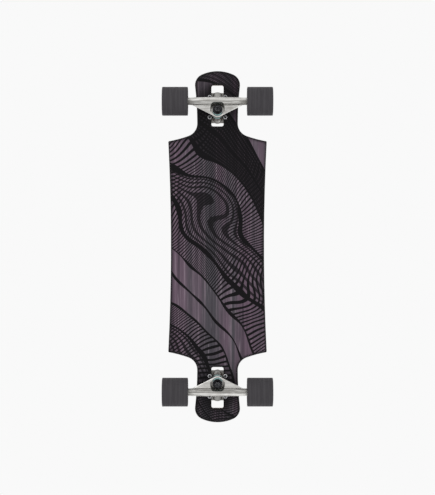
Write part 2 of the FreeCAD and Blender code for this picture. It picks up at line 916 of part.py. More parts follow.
def make_hanger(label):
    body = new_body(label)
    bar = new_sketch(body, "XY_Plane", "bar")
    end = half("hanger_width")
    step = end - size("bar_face_length")
    face = half("bar_face_diameter")
    loop(bar, [
        (0, -end),
        (face, -end),
        (face, -step),
        (half("bar_end_diameter"), -step),
        (half("bar_diameter"), -half("bar_middle")),
        (half("bar_diameter"), half("bar_middle")),
        (half("bar_end_diameter"), step),
        (face, step),
        (face, end),
        (0, end),
    ])
    revolve(body, bar, "bar_turned")

    yoke = level_plane(body, "yoke", size("yoke_up"))
    ring = half("ring_diameter")
    side = half("yoke_width")
    touch = touch_point(number(ring), -number(BUSHING_X), number(side))
    touch.x += number(BUSHING_X)
    corners = [
        (0, -side),
        (0, side),
        (Guess(touch.x), Guess(touch.y)),
        (Guess(touch.x), Guess(-touch.y)),
    ]
    loop(yoke, corners, {2: ((BUSHING_X, 0), ring, True)}, smooth=(2, 3))
    plate = pad(body, yoke, "yoke_pad", size("yoke_thickness"), symmetric=True)
    doc.recompute()

    def is_yoke_edge(edge):
        spot = edge.CenterOfMass
        level = edge.BoundBox.ZLength < EDGE_TOLERANCE
        low = abs(spot.z - number(size("yoke_up") - half("yoke_thickness"))) < EDGE_TOLERANCE
        return level and low and spot.x < -number(half("bar_end_diameter"))

    fillet(body, plate, "yoke_edges", edge_names(plate.Shape, is_yoke_edge), size("yoke_edge"))

    boss = kingpin_plane(body, "ring", WEB_HALF * 0)
    circle(boss, (0, 0), ring)
    pad(body, boss, "ring_pad", size("ring_web") + size("seat_depth") * 2, symmetric=True)
    floor = kingpin_plane(body, "cavity_floor", WEB_HALF * 0)
    floor_side = half("cavity_floor_width")
    box_loop(floor, (0, -floor_side), (size("cavity_floor_length"), floor_side))
    pad(body, floor, "cavity_floor_pad", size("ring_web"), symmetric=True)

    foot = new_sketch(body, "XY_Plane", "tower_foot")
    box_loop(foot, (-half("tower_length"), -half("tower_width")), (half("tower_length"), half("tower_width")))
    top = pivot_plane(body, "tower_top", -size("nose_stem"))
    low_corner = (-half("tower_top_length"), -half("tower_top_width"))
    box_loop(top, low_corner, (half("tower_top_length"), half("tower_top_width")))
    feature(body, "AdditiveLoft", "tower", Profile=foot, Sections=[top], Ruled=True)

    nose = pivot_profile(body, "nose")
    stem = -size("nose_stem") - size("axle_edge")
    radius = half("nose_diameter")
    corners = [(stem, 0), (Guess(number(radius)), 0), (0, Guess(number(radius))), (stem, radius)]
    loop(nose, corners, {1: ((0, 0), radius, True)})
    revolve(body, nose, "nose_turned", "H_Axis")

    clearing = kingpin_plane(body, "clearing", WEB_HALF + size("seat_depth"))
    circle(clearing, (0, 0), half("clearing_diameter"))
    pocket(body, clearing, "clearing_cut", size("clearing_height"), forwards=True)
    seat = kingpin_plane(body, "seat", WEB_HALF)
    circle(seat, (0, 0), half("bushing_diameter") + size("seat_slack"))
    pocket(body, seat, "seat_cut", size("clearing_height"), forwards=True)
    hole = kingpin_plane(body, "hole", WEB_HALF * 0)
    circle(hole, (0, 0), half("ring_hole"))
    pocket(body, hole, "hole_cut", size("clearing_height"), both_ways=True)

    cavity = kingpin_plane(body, "cavity", -WEB_HALF)
    bend = half("cavity_diameter")
    side = half("cavity_width")
    reach = size("cavity_reach")
    corner = size("cavity_round")
    shoulder = -size("cavity_shoulder")
    touch = touch_point(number(bend), number(shoulder), number(side))
    corners = [
        (reach, corner - side),
        (reach, side - corner),
        (reach - corner, side),
        (shoulder, side),
        (Guess(touch.x), Guess(touch.y)),
        (Guess(touch.x), Guess(-touch.y)),
        (shoulder, -side),
        (reach - corner, -side),
    ]
    arcs = {
        1: (guess(reach - corner, side - corner), corner, True),
        4: ((0, 0), bend, True),
        7: (guess(reach - corner, corner - side), corner, True),
    }
    loop(cavity, corners, arcs, smooth=(4, 5))
    pocket(body, cavity, "cavity_cut")

    bore = new_sketch(body, "XZ_Plane", "bore")
    circle(bore, (0, 0), AXLE_BORE)
    pocket(body, bore, "bore_cut", both_ways=True)
    return body


def make_axle(label):
    body = new_body(label)
    sketch = new_sketch(body, "XY_Plane", "profile")
    edge = size("axle_edge")
    radius = half("axle_diameter")
    loop(sketch, [
        (0, -AXLE_END_AT),
        (radius - edge, -AXLE_END_AT),
        (radius, edge - AXLE_END_AT),
        (radius, AXLE_END_AT - edge),
        (radius - edge, AXLE_END_AT),
        (0, AXLE_END_AT),
    ])
    revolve(body, sketch, "turned")
    return body


def make_axle_nuts(label):
    body = new_body(label)

    def plane(name, height):
        return new_sketch(body, "XZ_Plane", name, (0, 0, -(NUT_AT + height)))

    parts = (size("axle_nut_across"), AXLE_BORE, size("axle_nut_height"), [(0, 0)])
    sides, collar, hex_height = hex_nuts(plane, *parts)
    hexes = pad(body, sides, "sides_pad", hex_height, backwards=True)
    collars = pad(body, collar, "collar_pad", size("nut_collar_height"), backwards=True)
    mirror(body, "both_ends", [hexes, collars], "XZ_Plane")
    return body


def make_speed_washers(label):
    body = new_body(label)
    sketch = new_sketch(body, "XY_Plane", "profile")
    box_loop(sketch, (AXLE_BORE, WASHER_AT), (half("speed_washer_diameter"), BEARING_AT))
    box_loop(sketch, (AXLE_BORE, OUTER_WASHER_AT), (half("speed_washer_diameter"), NUT_AT))
    turned = revolve(body, sketch, "turned")
    mirror(body, "both_ends", [turned], "XZ_Plane")
    return body


def make_spacers(label):
    body = new_body(label)
    sketch = new_sketch(body, "XY_Plane", "profile")
    box_loop(sketch, (AXLE_BORE, SPACER_AT), (half("spacer_diameter"), OUTER_BEARING_AT))
    turned = revolve(body, sketch, "turned")
    mirror(body, "both_ends", [turned], "XZ_Plane")
    return body


GROOVE_RADIUS = half("ball_diameter") + size("ball_slack")
PITCH_RADIUS = half("pitch_diameter")


def groove_half(land):
    """How far a ball groove reaches to either side of its middle at a land."""
    return math.sqrt(number(GROOVE_RADIUS) ** 2 - number(PITCH_RADIUS - land) ** 2)


def make_inner_rings(label):
    body = new_body(label)
    sketch = new_sketch(body, "XY_Plane", "profile")
    land = half("inner_land")
    side = half("bearing_width")
    for step in (-BEARING_STEP, BEARING_STEP):
        middle = BEARING_MIDDLE + step
        corners = [
            (AXLE_BORE, middle - side),
            (land, middle - side),
            (land, Guess(number(middle) - groove_half(land))),
            (land, Guess(number(middle) + groove_half(land))),
            (land, middle + side),
            (AXLE_BORE, middle + side),
        ]
        loop(sketch, corners, {2: ((PITCH_RADIUS, middle), GROOVE_RADIUS, False)})
    turned = revolve(body, sketch, "turned")
    mirror(body, "both_ends", [turned], "XZ_Plane")
    return body


def make_mount_bolts(label):
    body = new_body(label)
    tail_end = UNDERSIDE - size("mount_nut_height") - size("bolt_end")
    shanks = level_plane(body, "shanks", tail_end)
    heads = level_plane(body, "heads", FLANGE_TOP)
    sockets = level_plane(body, "sockets", FLANGE_TOP + size("bolt_head_height"))
    for spot in bolt_spots():
        circle(shanks, spot, half("bolt_diameter"))
        circle(heads, spot, half("bolt_head_diameter"))
        hexagon(sockets, size("bolt_socket"), spot)
    pad(body, shanks, "shanks_pad", FLANGE_TOP - tail_end)
    made = pad(body, heads, "heads_pad", size("bolt_head_height"))
    doc.recompute()
    top = number(FLANGE_TOP + size("bolt_head_height")) - EDGE_TOLERANCE
    rims = edge_names(made.Shape, lambda edge: edge.BoundBox.ZMin > top)
    fillet(body, made, "head_edges", rims, size("bolt_head_edge"))
    pocket(body, sockets, "sockets_cut", size("bolt_socket_depth"))
    return body


def make_mount_nuts(label):
    body = new_body(label)

    def plane(name, height):
        return level_plane(body, name, UNDERSIDE - height)

    bore = half("bolt_diameter") + size("running_slack")
    parts = (size("mount_nut_across"), bore, size("mount_nut_height"), bolt_spots())
    sides, collar, hex_height = hex_nuts(plane, *parts)
    pad(body, sides, "sides_pad", hex_height, backwards=True)
    pad(body, collar, "collar_pad", size("nut_collar_height"), backwards=True)
    return body


# Wheels, each drawn round its own middle with Y pointing away from the board


def bearing_middles():
    """The two bearings' middles in a wheel."""
    return [-size("wheel_offset") - BEARING_STEP, BEARING_STEP - size("wheel_offset")]


def make_tyre(label):
    body = new_body(label)
    sketch = new_sketch(body, "XY_Plane", "profile")
    radius = half("wheel_diameter")
    tread = half("tread_width")
    wide = half("wheel_width")
    core_low = -size("wheel_offset") - half("core_width")
    core_high = half("core_width") - size("wheel_offset")
    loop(sketch, [
        (half("core_diameter"), core_low),
        (half("dish_diameter"), core_low - size("dish_rise")),
        (half("sidewall_diameter"), size("sidewall_inset") - wide),
        (half("bulge_diameter"), -wide),
        (radius - size("lip_height"), -(tread + size("lip_width"))),
        (radius, -tread),
        (radius, tread),
        (radius - size("lip_height"), tread + size("lip_width")),
        (half("bulge_diameter"), wide),
        (half("sidewall_diameter"), wide - size("sidewall_inset")),
        (half("dish_diameter"), core_high + size("dish_rise")),
        (half("core_diameter"), core_high),
    ])
    turned = revolve(body, sketch, "turned")
    doc.recompute()
    bends = [number(half("sidewall_diameter")), number(half("bulge_diameter"))]

    def is_bend(edge):
        curve = edge.Curve
        return hasattr(curve, "Radius") and min(abs(curve.Radius - bend) for bend in bends) < EDGE_TOLERANCE

    fillet(body, turned, "sidewall_rounds", edge_names(turned.Shape, is_bend), size("sidewall_round"))
    return body


def make_core(label):
    body = new_body(label)
    sketch = new_sketch(body, "XY_Plane", "profile")
    seat = half("bearing_diameter") + size("running_slack")
    low = -size("wheel_offset") - half("core_width")
    high = half("core_width") - size("wheel_offset")
    stop_low = -size("wheel_offset") - half("spacer_length")
    stop_high = half("spacer_length") - size("wheel_offset")
    edge = size("core_edge")
    loop(sketch, [
        (seat + edge, low),
        (half("core_diameter"), low),
        (half("core_diameter"), high),
        (seat + edge, high),
        (seat, high - edge),
        (seat, stop_high),
        (half("core_stop_diameter"), stop_high),
        (half("core_stop_diameter"), stop_low),
        (seat, stop_low),
        (seat, low + edge),
    ])
    revolve(body, sketch, "turned")
    near = half("core_pocket_diameter")
    far = near + size("core_pocket_width")
    side = half("core_pocket_length")
    for name, face, inwards in (("inner", low, True), ("outer", high, False)):
        one = new_sketch(body, "XZ_Plane", f"{name}_pocket", (0, 0, -face))
        box_loop(one, (near, -side), (far, side))
        cut = pocket(body, one, f"{name}_pocket_cut", size("core_pocket_depth"), forwards=not inwards)
        round_about(body, f"{name}_pockets", cut, "core_rib_count")
    return body


def make_outer_rings(label):
    body = new_body(label)
    sketch = new_sketch(body, "XY_Plane", "profile")
    land = half("outer_land")
    side = half("bearing_width")
    ledge = side - size("shield_inset") - size("shield_thickness")
    for middle in bearing_middles():
        corners = [
            (half("bearing_diameter"), middle - side),
            (half("bearing_diameter"), middle + side),
            (half("shield_seat"), middle + side),
            (half("shield_seat"), middle + ledge),
            (land, middle + ledge),
            (land, Guess(number(middle) + groove_half(land))),
            (land, Guess(number(middle) - groove_half(land))),
            (land, middle - ledge),
            (half("shield_seat"), middle - ledge),
            (half("shield_seat"), middle - side),
        ]
        loop(sketch, corners, {5: ((PITCH_RADIUS, middle), GROOVE_RADIUS, False)})
    revolve(body, sketch, "turned")
    return body


def ball_sketch(body, name, middle, radius):
    """Half a ball's disc at the pitch circle, with its own axis upright."""
    sketch = new_sketch(body, "XY_Plane", name, (PITCH_RADIUS, middle, 0))
    corners = [(0, Guess(-number(radius))), (0, Guess(number(radius)))]
    loop(sketch, corners, {0: ((0, 0), radius, True)})
    return sketch


def round_about(body, name, original, count):
    """Repeats a feature evenly round the axle."""
    made = feature(body, "PolarPattern", name, Originals=[original])
    made.Axis = (origin_part(body, "Y_Axis"), [""])
    made.Angle = 360
    tie(made, "Occurrences", size(count))
    return made


def make_balls(label):
    body = new_body(label)
    for name, middle in zip(("inner", "outer"), bearing_middles()):
        outline = ball_sketch(body, f"{name}_ball", middle, half("ball_diameter"))
        one = revolve(body, outline, f"{name}_turned")
        round_about(body, f"{name}_ring", one, "ball_count")
    return body


def make_cages(label):
    body = new_body(label)
    sketch = new_sketch(body, "XY_Plane", "profile")
    for middle in bearing_middles():
        low = (half("cage_bore"), middle - size("cage_back"))
        box_loop(sketch, low, (half("cage_diameter"), middle - size("cage_start")))
    revolve(body, sketch, "turned")
    for name, middle in zip(("inner", "outer"), bearing_middles()):
        hollow = ball_sketch(body, f"{name}_hollow", middle, GROOVE_RADIUS)
        one = feature(body, "Groove", f"{name}_pocket", Profile=hollow, ReferenceAxis=(hollow, ["V_Axis"]))
        one.Angle = 360
        round_about(body, f"{name}_pockets", one, "ball_count")
    return body


def make_shields(label):
    body = new_body(label)
    sketch = new_sketch(body, "XY_Plane", "profile")
    outside = half("bearing_width") - size("shield_inset")
    inside = outside - size("shield_thickness")
    rim = half("shield_seat") - size("running_slack")
    for middle in bearing_middles():
        box_loop(sketch, (half("shield_bore"), middle + inside), (rim, middle + outside))
        box_loop(sketch, (half("shield_bore"), middle - outside), (rim, middle - inside))
    revolve(body, sketch, "turned")
    return body


TRUCK_PIECES = {
    "baseplate": make_baseplate,
    "pivot_cup": make_pivot_cup,
    "kingpin": make_kingpin,
    "kingpin_nut": make_kingpin_nut,
    "bushing_washers": make_washers,
    "boardside_bushing": make_boardside_bushing,
    "roadside_bushing": make_roadside_bushing,
    "hanger": make_hanger,
    "axle": make_axle,
    "axle_nuts": make_axle_nuts,
    "speed_washers": make_speed_washers,
    "bearing_spacers": make_spacers,
    "bearing_inner_rings": make_inner_rings,
    "mount_bolts": make_mount_bolts,
    "mount_nuts": make_mount_nuts,
}
WHEEL_PIECES = {
    "tyre": make_tyre,
    "wheel_core": make_core,
    "bearing_outer_rings": make_outer_rings,
    "bearing_balls": make_balls,
    "bearing_cages": make_cages,
    "bearing_shields": make_shields,
}

pieces = [make_deck(), make_grip()]
for end, way in (("front", 1), ("rear", -1)):
    axle_x = AXLE_REACH * way
    for name, maker in TRUCK_PIECES.items():
        piece = maker(f"{end}_{name}")
        place(piece, axle_x, 0, AXLE_HEIGHT, turned=way < 0)
        pieces.append(piece)
    for hand, side in (("left", 1), ("right", -1)):
        for name, maker in WHEEL_PIECES.items():
            piece = maker(f"{end}_{hand}_{name}")
            place(piece, axle_x, WHEEL_CENTRE * side, AXLE_HEIGHT, turned=side < 0)
            pieces.append(piece)
doc.recompute()

for item in doc.Objects:
    if "Invalid" in item.State or "Error" in item.State:
        raise RuntimeError(f"{item.Label} did not build: {item.getStatusString()}")
for piece in pieces:
    if piece.Shape.isNull() or not piece.Shape.isValid():
        raise RuntimeError(f"{piece.Label} has no valid shape")

os.makedirs("parts", exist_ok=True)
for piece in pieces:
    piece.Shape.exportStep(f"parts/{piece.Label}.step")
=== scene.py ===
import math

import bpy
from mathutils import Matrix, Vector
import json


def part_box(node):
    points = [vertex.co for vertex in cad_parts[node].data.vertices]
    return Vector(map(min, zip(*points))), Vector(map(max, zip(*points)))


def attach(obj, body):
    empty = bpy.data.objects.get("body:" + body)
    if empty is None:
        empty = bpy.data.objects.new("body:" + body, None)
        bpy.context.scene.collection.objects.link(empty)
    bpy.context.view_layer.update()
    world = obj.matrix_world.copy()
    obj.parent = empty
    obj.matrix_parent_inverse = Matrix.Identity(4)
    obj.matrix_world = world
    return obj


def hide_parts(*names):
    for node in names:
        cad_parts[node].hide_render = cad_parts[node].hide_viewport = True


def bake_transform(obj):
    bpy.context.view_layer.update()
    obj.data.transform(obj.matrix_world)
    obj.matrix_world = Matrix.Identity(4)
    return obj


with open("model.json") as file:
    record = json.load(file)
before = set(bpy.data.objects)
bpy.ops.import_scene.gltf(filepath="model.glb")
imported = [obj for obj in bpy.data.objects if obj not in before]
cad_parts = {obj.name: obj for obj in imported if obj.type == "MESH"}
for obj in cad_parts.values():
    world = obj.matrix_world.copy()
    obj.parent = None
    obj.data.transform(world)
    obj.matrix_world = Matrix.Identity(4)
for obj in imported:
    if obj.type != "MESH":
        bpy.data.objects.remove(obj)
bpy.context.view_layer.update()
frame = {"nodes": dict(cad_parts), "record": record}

# Places are in metres, in the CAD frame: X along the board, Y to the left, Z up.
# Pattern sizes are in millimetres, and per_metre turns them into a scale.
axle_low, axle_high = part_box("front_axle")
AXLE_REACH = (axle_low[0] + axle_high[0]) / 2
AXLE_HEIGHT = (axle_low[2] + axle_high[2]) / 2
AXLE_RADIUS = (axle_high[2] - axle_low[2]) / 2
AXLE_NUT_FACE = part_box("front_axle_nuts")[1][1]
JOINTS = {joint["name"]: joint for joint in frame["record"]["behaviour"]["joints"]}
RING_REACH, _, RING_HEIGHT = JOINTS["front_steer"]["pos_m"]
# Where the hanger's yoke ends and its bar begins, the height of the bar's top, and over how far the belt
# marks come in.
BAR_START = 0.368
BAR_TOP = AXLE_HEIGHT + 0.0105
BAR_FADE = 0.004
DECK_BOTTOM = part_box("deck")[0][2]
DECK_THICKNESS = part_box("grip_tape")[0][2] - DECK_BOTTOM
FLAT_HALF = 0.042
PRESS_RADIUS = 0.4379
PLY_COUNT = 8
KINGPIN_LEAN = math.radians(16)
KINGPIN_RADIUS = 0.00475
KINGPIN_NUT_FACE = -0.0258
BOLT_RADIUS = 0.0024
BOLT_PATTERN_BACK = 0.0119
BOLT_SPACING = 0.05398
BOLT_GAUGE = 0.04128
MOUNT_NUT_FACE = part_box("front_mount_nuts")[0][2]
ENDS = {"front": 1, "rear": -1}
HANDS = {"left": 1, "right": -1}

# The settings and sockets of a colour mix: the share of the second colour, the two colours, and the result.
COLOUR = {"data_type": "RGBA"}
SHARE, UNDER, OVER, MIXED = 0, 6, 7, 2
# A soft step, and the two kinds of noise that most finishes have: clouds, and the plainer pits and marks.
SMOOTH = {"interpolation_type": "SMOOTHSTEP"}
CLOUDED = {"Detail": 4, "Roughness": 0.6}
MARKED = {"Detail": 3, "Roughness": 0.6}


def linear(code):
    """The linear colour of an sRGB hex value."""
    colour = []
    for place in (1, 3, 5):
        share = int(code[place:place + 2], 16) / 255
        colour.append(share / 12.92 if share <= 0.04045 else ((share + 0.055) / 1.055) ** 2.4)
    return (*colour, 1.0)


def per_metre(width):
    """How often a width in millimetres goes into a metre."""
    return 1000 / width


def add(tree, kind, inputs, **settings):
    """Adds a node, sets it, fills or links its inputs by name or in order, gives its outputs."""
    node = tree.nodes.new(f"ShaderNode{kind}")
    for name, value in settings.items():
        setattr(node, name, value)
    for key, value in inputs.items() if isinstance(inputs, dict) else enumerate(inputs):
        if isinstance(value, bpy.types.NodeSocket):
            tree.links.new(value, node.inputs[key])
        else:
            node.inputs[key].default_value = value
    return node.outputs


def new_finish(name):
    """An empty material and its node tree."""
    material = bpy.data.materials.new(name)
    material.use_nodes = True
    material.node_tree.nodes.clear()
    return material, material.node_tree


def along_grain(length, width):
    """The scale of grain marks of a length along the board and a width across it."""
    return per_metre(length), per_metre(width), per_metre(width)


# Finishes


def stained_maple():
    """Rotary-cut maple, pressed in plies, stained mauve grey, screen printed in black and thinly lacquered.

    The eye gets long soft grain in the stain, crisp flat ink over it, a sprayed black rim, and pale and
    dyed plies in turn on the sides.
    """
    grain_depth = 0.0003
    drift_reach = 0.36
    veil_start = 0.26
    veil_full = 0.40
    shadow_core_reach = 0.03
    shadow_fade_reach = 0.085
    spray_reach = 0.0095
    material, tree = new_finish("stained_maple")
    spot = add(tree, "TexCoord", {})
    point = spot["Object"]
    x, y, z = add(tree, "SeparateXYZ", [point])
    upward = add(tree, "SeparateXYZ", [spot["Normal"]])[2]

    # The grain has soft streaks, a broad figure, thin lines, and pores, which are drawn at 1.1 mm because
    # the real ones, of about 0.1 mm, would not show.
    streak_place = add(tree, "VectorMath", [point, along_grain(590, 9.5)], operation="MULTIPLY")[0]
    streaks = add(
        tree, "TexNoise", {"Vector": streak_place, "Scale": 1, "Detail": 6, "Roughness": 0.68})["Fac"]
    figure_place = add(tree, "VectorMath", [point, along_grain(1110, 59)], operation="MULTIPLY")[0]
    figure = add(tree, "TexNoise", {
        "Vector": figure_place, "Scale": 1, "Detail": 3, "Roughness": 0.55, "Distortion": 0.6})["Fac"]
    line_place = add(tree, "VectorMath", [point, along_grain(150, 4.2)], operation="MULTIPLY")[0]
    lines = add(tree, "TexNoise", {"Vector": line_place, "Scale": 1, **CLOUDED})["Fac"]
    pore_place = add(tree, "VectorMath", [point, along_grain(38, 1.1)], operation="MULTIPLY")[0]
    pores = add(tree, "TexNoise", {"Vector": pore_place, "Scale": 1, "Detail": 2})["Fac"]

    # The stain takes unevenly: grey and mauve by the figure, then lighter and darker by the finer marks.
    share = add(tree, "MapRange", [figure, 0.35, 0.65], **SMOOTH)[0]
    stain = add(
        tree, "Mix", {SHARE: share, UNDER: linear("#4f4c52"), OVER: linear("#6a5866")}, **COLOUR)[MIXED]
    grain_shares = [
        ("#8e7e8a", [streaks, 0.52, 0.70, 0, 0.75]),
        ("#352f37", [streaks, 0.33, 0.50, 0.75, 0]),
        ("#a79aa4", [lines, 0.58, 0.72, 0, 0.6]),
        ("#352f37", [lines, 0.30, 0.42, 0.5, 0]),
        ("#272328", [pores, 0.60, 0.72, 0, 0.35]),
    ]
    for tone, spread in grain_shares:
        share = add(tree, "MapRange", spread, **SMOOTH)[0]
        stain = add(tree, "Mix", {SHARE: share, UNDER: stain, OVER: linear(tone)}, **COLOUR)[MIXED]

    # The print: drifting waves about 59 mm apart, each outlined, and by chance echoed, hatched or filled.
    level = add(tree, "VectorMath", [point, (1, 1, 0)], operation="MULTIPLY")[0]
    drift = add(tree, "TexNoise", {"Vector": level, "Scale": per_metre(322.6), "Detail": 1.5})["Color"]
    centred = add(tree, "VectorMath", [drift, (0.5, 0.5, 0.5)], operation="SUBTRACT")[0]
    curled = add(
        tree, "VectorMath", [centred, (drift_reach, drift_reach, 0), level], operation="MULTIPLY_ADD")[0]
    wave_steps = (per_metre(90.9), per_metre(76.9), 0)
    swell = add(tree, "VectorMath", [curled, wave_steps], operation="DOT_PRODUCT")["Value"]
    wave = add(tree, "Math", [swell], operation="FLOOR")[0]
    chance = add(tree, "TexWhiteNoise", {"W": wave}, noise_dimensions="1D")["Value"]
    distance_off = add(tree, "Math", [swell, 0.5], operation="PINGPONG")[0]
    brush = add(tree, "TexNoise", {"Vector": level, "Scale": per_metre(83), "Detail": 1})["Fac"]
    brush_share = add(tree, "MapRange", [brush, 0.3, 0.7, 0.035, 0.10], **SMOOTH)[0]
    outline = add(tree, "Math", [distance_off, brush_share], operation="LESS_THAN")[0]
    echoes_in_wave = 7
    echo = add(tree, "Math", [swell, echoes_in_wave], operation="MULTIPLY")[0]
    echo = add(tree, "Math", [echo], operation="FRACT")[0]
    echo = add(tree, "Math", [echo, 0.42], operation="LESS_THAN")[0]
    hatch_steps = (per_metre(10.53), -per_metre(12.5), 0)
    hatch = add(tree, "VectorMath", [curled, hatch_steps], operation="DOT_PRODUCT")["Value"]
    hatch = add(tree, "Math", [hatch], operation="FRACT")[0]
    hatch = add(tree, "Math", [hatch, 0.45], operation="LESS_THAN")[0]
    has_echo = add(tree, "MapRange", [chance, 0.3399, 0.3401, 0, 0.85])[0]
    echo_ink = add(tree, "Math", [echo, has_echo], operation="MULTIPLY")[0]
    has_hatch = add(tree, "Math", [chance, 0.10], operation="GREATER_THAN")[0]
    hatch_ink = add(tree, "Math", [hatch, has_hatch], operation="MULTIPLY")[0]
    is_filled = add(tree, "Math", [chance, 0.76], operation="GREATER_THAN")[0]
    worn_and_glint = add(tree, "Math", [echo, -0.30, 1], operation="MULTIPLY_ADD")[0]
    fill_ink = add(tree, "Math", [is_filled, worn_and_glint], operation="MULTIPLY")[0]

    # A veil of ink lies over both ends. Round each truck the deck is painted near black, a painted shadow
    # cast by the truck.
    from_middle = add(tree, "Math", [x], operation="ABSOLUTE")[0]
    end_ink = add(tree, "MapRange", [from_middle, veil_start, veil_full, 0, 0.42], **SMOOTH)[0]
    one_side = add(tree, "VectorMath", [level], operation="ABSOLUTE")[0]
    from_truck = add(tree, "VectorMath", [one_side, (AXLE_REACH, 0, 0)], operation="DISTANCE")["Value"]
    truck_shadow = add(tree, "MapRange", [from_truck, shadow_core_reach, shadow_fade_reach, 0.9, 0], **SMOOTH)[0]
    ink_and_shadow_share = outline
    for more in (echo_ink, hatch_ink, fill_ink, end_ink, truck_shadow):
        ink_and_shadow_share = add(tree, "Math", [ink_and_shadow_share, more], operation="MAXIMUM")[0]
    # One near black serves for the ink and for the painted shadow round the trucks.
    ink_and_shadow_black = add(
        tree, "Mix", {SHARE: streaks, UNDER: linear("#0a090b"), OVER: linear("#141215")}, **COLOUR)[MIXED]
    printed_and_shaded = add(tree, "Mix", {SHARE: ink_and_shadow_share, UNDER: stain, OVER: ink_and_shadow_black}, **COLOUR)[MIXED]

    # The plies are counted up from the pressed underside, which rises beyond the flat middle.
    from_centre = add(tree, "Math", [y], operation="ABSOLUTE")[0]
    past_flat = add(tree, "Math", [from_centre, FLAT_HALF], operation="SUBTRACT")[0]
    past_flat = add(tree, "Math", [past_flat, 0], operation="MAXIMUM")[0]
    lift = add(tree, "Math", [past_flat, past_flat], operation="MULTIPLY")[0]
    height = add(tree, "Math", [lift, -0.5 / PRESS_RADIUS, z], operation="MULTIPLY_ADD")[0]
    height = add(tree, "Math", [height, DECK_BOTTOM], operation="SUBTRACT")[0]
    ply = add(tree, "Math", [height, PLY_COUNT / DECK_THICKNESS], operation="MULTIPLY")[0]
    pair = add(tree, "Math", [ply, 0.5], operation="MULTIPLY")[0]
    pair = add(tree, "Math", [pair], operation="FRACT")[0]
    is_dyed = add(tree, "Math", [pair, 0.5], operation="GREATER_THAN")[0]
    bare = add(
        tree, "Mix", {SHARE: streaks, UNDER: linear("#cbad89"), OVER: linear("#ad8e6c")}, **COLOUR)[MIXED]
    dyed = add(
        tree, "Mix", {SHARE: streaks, UNDER: linear("#594252"), OVER: linear("#453542")}, **COLOUR)[MIXED]
    plies = add(tree, "Mix", {SHARE: is_dyed, UNDER: bare, OVER: dyed}, **COLOUR)[MIXED]
    from_seam = add(tree, "Math", [ply, 0.5], operation="PINGPONG")[0]
    glue = add(tree, "MapRange", [from_seam, 0.06, 0, 0, 0.7], **SMOOTH)[0]
    plies = add(tree, "Mix", {SHARE: glue, UNDER: plies, OVER: linear("#594538")}, **COLOUR)[MIXED]

    # Sprayed black covers what slants away from the sides, and the print, with the painted shadow round the
    # trucks, covers what faces down. Some of the spray drifted about 4 mm in from the rim, over the print.
    spray = linear("#191819")
    from_rim = add(
        tree, "AmbientOcclusion", {"Distance": spray_reach}, samples=8, inside=True, only_local=True)["AO"]
    spray_share = add(tree, "MapRange", [from_rim, 0.95, 0.75, 0, 0.85], **SMOOTH)[0]
    printed_and_shaded = add(tree, "Mix", {SHARE: spray_share, UNDER: printed_and_shaded, OVER: spray}, **COLOUR)[MIXED]
    slant = add(tree, "Math", [upward], operation="ABSOLUTE")[0]
    sprayed = add(tree, "MapRange", [slant, 0.12, 0.25], **SMOOTH)[0]
    colour = add(tree, "Mix", {SHARE: sprayed, UNDER: plies, OVER: spray}, **COLOUR)[MIXED]
    below = add(tree, "MapRange", [upward, -0.88, -0.94], **SMOOTH)[0]
    colour = add(tree, "Mix", {SHARE: below, UNDER: colour, OVER: printed_and_shaded}, **COLOUR)[MIXED]
    roughness = add(tree, "MapRange", [streaks, 0.3, 0.7, 0.42, 0.55])[0]
    relief = add(tree, "Math", [streaks, pores], operation="ADD")[0]
    normal = add(tree, "Bump", {"Height": relief, "Strength": 0.25, "Distance": grain_depth})[0]
    surface = add(tree, "BsdfPrincipled", {
        "Base Color": colour, "Roughness": roughness, "IOR": 1.5, "Specular IOR Level": 0.08,
        "Normal": normal})
    add(tree, "OutputMaterial", {"Surface": surface["BSDF"]})
    return material


def silicon_carbide_grit():
    """Silicon carbide grit bonded to a black sheet: matt black, scattered glints and a little pale dust.

    The real grit is about 0.2 mm. It is drawn at 0.45 mm so that the glints show.
    """
    grit_depth = 0.0004
    material, tree = new_finish("silicon_carbide_grit")
    point = add(tree, "TexCoord", {})["Object"]
    grit = add(tree, "TexVoronoi", {"Vector": point, "Scale": per_metre(0.45)})
    tone = add(tree, "SeparateXYZ", [grit["Color"]])[0]
    dust = add(tree, "TexNoise", {"Vector": point, "Scale": per_metre(71), **CLOUDED})["Fac"]
    colour = add(
        tree, "Mix", {SHARE: tone, UNDER: linear("#19191b"), OVER: linear("#38383a")}, **COLOUR)[MIXED]
    share = add(tree, "MapRange", [dust, 0.5, 0.8, 0, 0.25], **SMOOTH)[0]
    colour = add(tree, "Mix", {SHARE: share, UNDER: colour, OVER: linear("#4d4c4b")}, **COLOUR)[MIXED]
    glint = add(tree, "MapRange", [tone, 0.965, 0.985], **SMOOTH)[0]
    colour = add(tree, "Mix", {SHARE: glint, UNDER: colour, OVER: linear("#99999b")}, **COLOUR)[MIXED]
    roughness = add(tree, "MapRange", [tone, 0, 1, 0.75, 0.95])[0]
    relief = add(tree, "Math", [1, grit["Distance"]], operation="SUBTRACT")[0]
    normal = add(tree, "Bump", {"Height": relief, "Strength": 0.9, "Distance": grit_depth})[0]
    surface = add(tree, "BsdfPrincipled", {"Base Color": colour, "Roughness": roughness, "Normal": normal})
    add(tree, "OutputMaterial", {"Surface": surface["BSDF"]})
    return material


